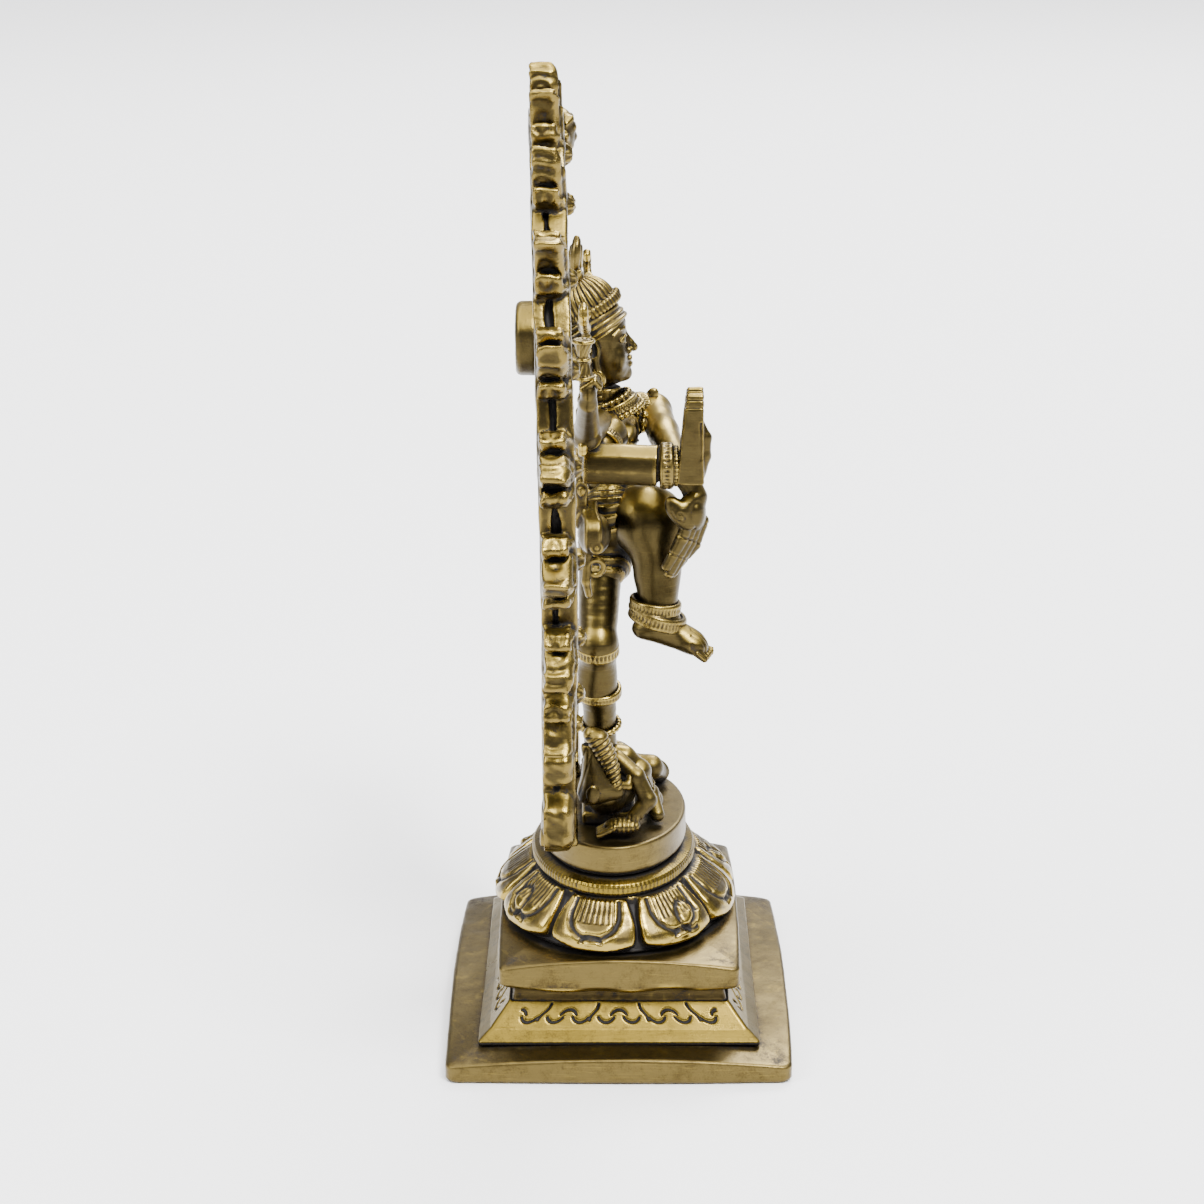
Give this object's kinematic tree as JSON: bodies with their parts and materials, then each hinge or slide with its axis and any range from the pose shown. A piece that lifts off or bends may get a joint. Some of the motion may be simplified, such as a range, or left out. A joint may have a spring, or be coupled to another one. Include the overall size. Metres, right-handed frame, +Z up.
{
  "type": "brass nataraja statue",
  "caption": "Cast brass dancing figure with raised leg inside a ring of flames, on a lotus pedestal over a stepped rectangular base.",
  "frame": {"origin": "centre of the base plate's underside", "axes": "+Z up; the figure faces -Y, and its own right hand is towards -X; the flame ring stands across X at the back of the drum"},
  "size_m": [0.123, 0.058, 0.165],
  "materials": {
    "satin_brass": "antique brass, filed flat and rubbed to a satin sheen, darker at the joints",
    "engraved_brass": "polished brass with engraving filled with dark patina",
    "neck_brass": "dull recessed brass with dark patina",
    "lotus_brass": "cast brass petals, bright on the high spots and black-brown in the grooves",
    "fixing_brass": "plain turned brass, hidden inside",
    "arch_brass": "rough cast brass, worn bright on the flame tips and dark between them",
    "ornament_brass": "polished raised brass bands with dark edges",
    "dwarf_brass": "cast brass with heavy patina",
    "cloth_brass": "cast brass with fine folds and dark recesses",
    "hair_brass": "cast brass with engraved strands and dark grooves",
    "skin_brass": "smooth filed brass with a warm satin sheen and brown patina"
  },
  "bodies": {
    "root": {"bottom_plate": "satin_brass", "scroll_moulding": "engraved_brass", "neck_block": "neck_brass", "upper_slab": "satin_brass", "lotus_pedestal": "lotus_brass", "ribbed_ring": "engraved_brass", "drum": "satin_brass", "tie_bolt": "fixing_brass", "flame_arch": "arch_brass", "arch_pins": "fixing_brass", "dwarf_pins": "fixing_brass", "foot_pin": "fixing_brass", "dwarf_body": "dwarf_brass", "dwarf_head": "dwarf_brass", "dwarf_arms": "dwarf_brass", "dwarf_legs": "dwarf_brass", "cobra": "dwarf_brass", "standing_leg": "skin_brass", "standing_foot": "skin_brass", "raised_leg": "skin_brass", "raised_foot": "skin_brass", "knee_band": "ornament_brass", "anklets": "ornament_brass", "hip_cloth": "cloth_brass", "waist_belt": "ornament_brass", "sash_ends": "cloth_brass", "torso": "skin_brass", "necklace": "ornament_brass", "lower_right_arm": "skin_brass", "abhaya_hand": "skin_brass", "lower_left_arm": "skin_brass", "hanging_hand": "skin_brass", "upper_right_arm": "skin_brass", "damaru": "ornament_brass", "upper_left_arm": "skin_brass", "hand_flame": "ornament_brass", "armlets": "ornament_brass", "bangles": "ornament_brass", "head": "skin_brass", "earrings": "ornament_brass", "crown": "hair_brass", "crown_crest": "ornament_brass", "hair_locks_right": "hair_brass", "hair_locks_left": "hair_brass", "head_disc": "arch_brass"}
  },
  "joints": []
}
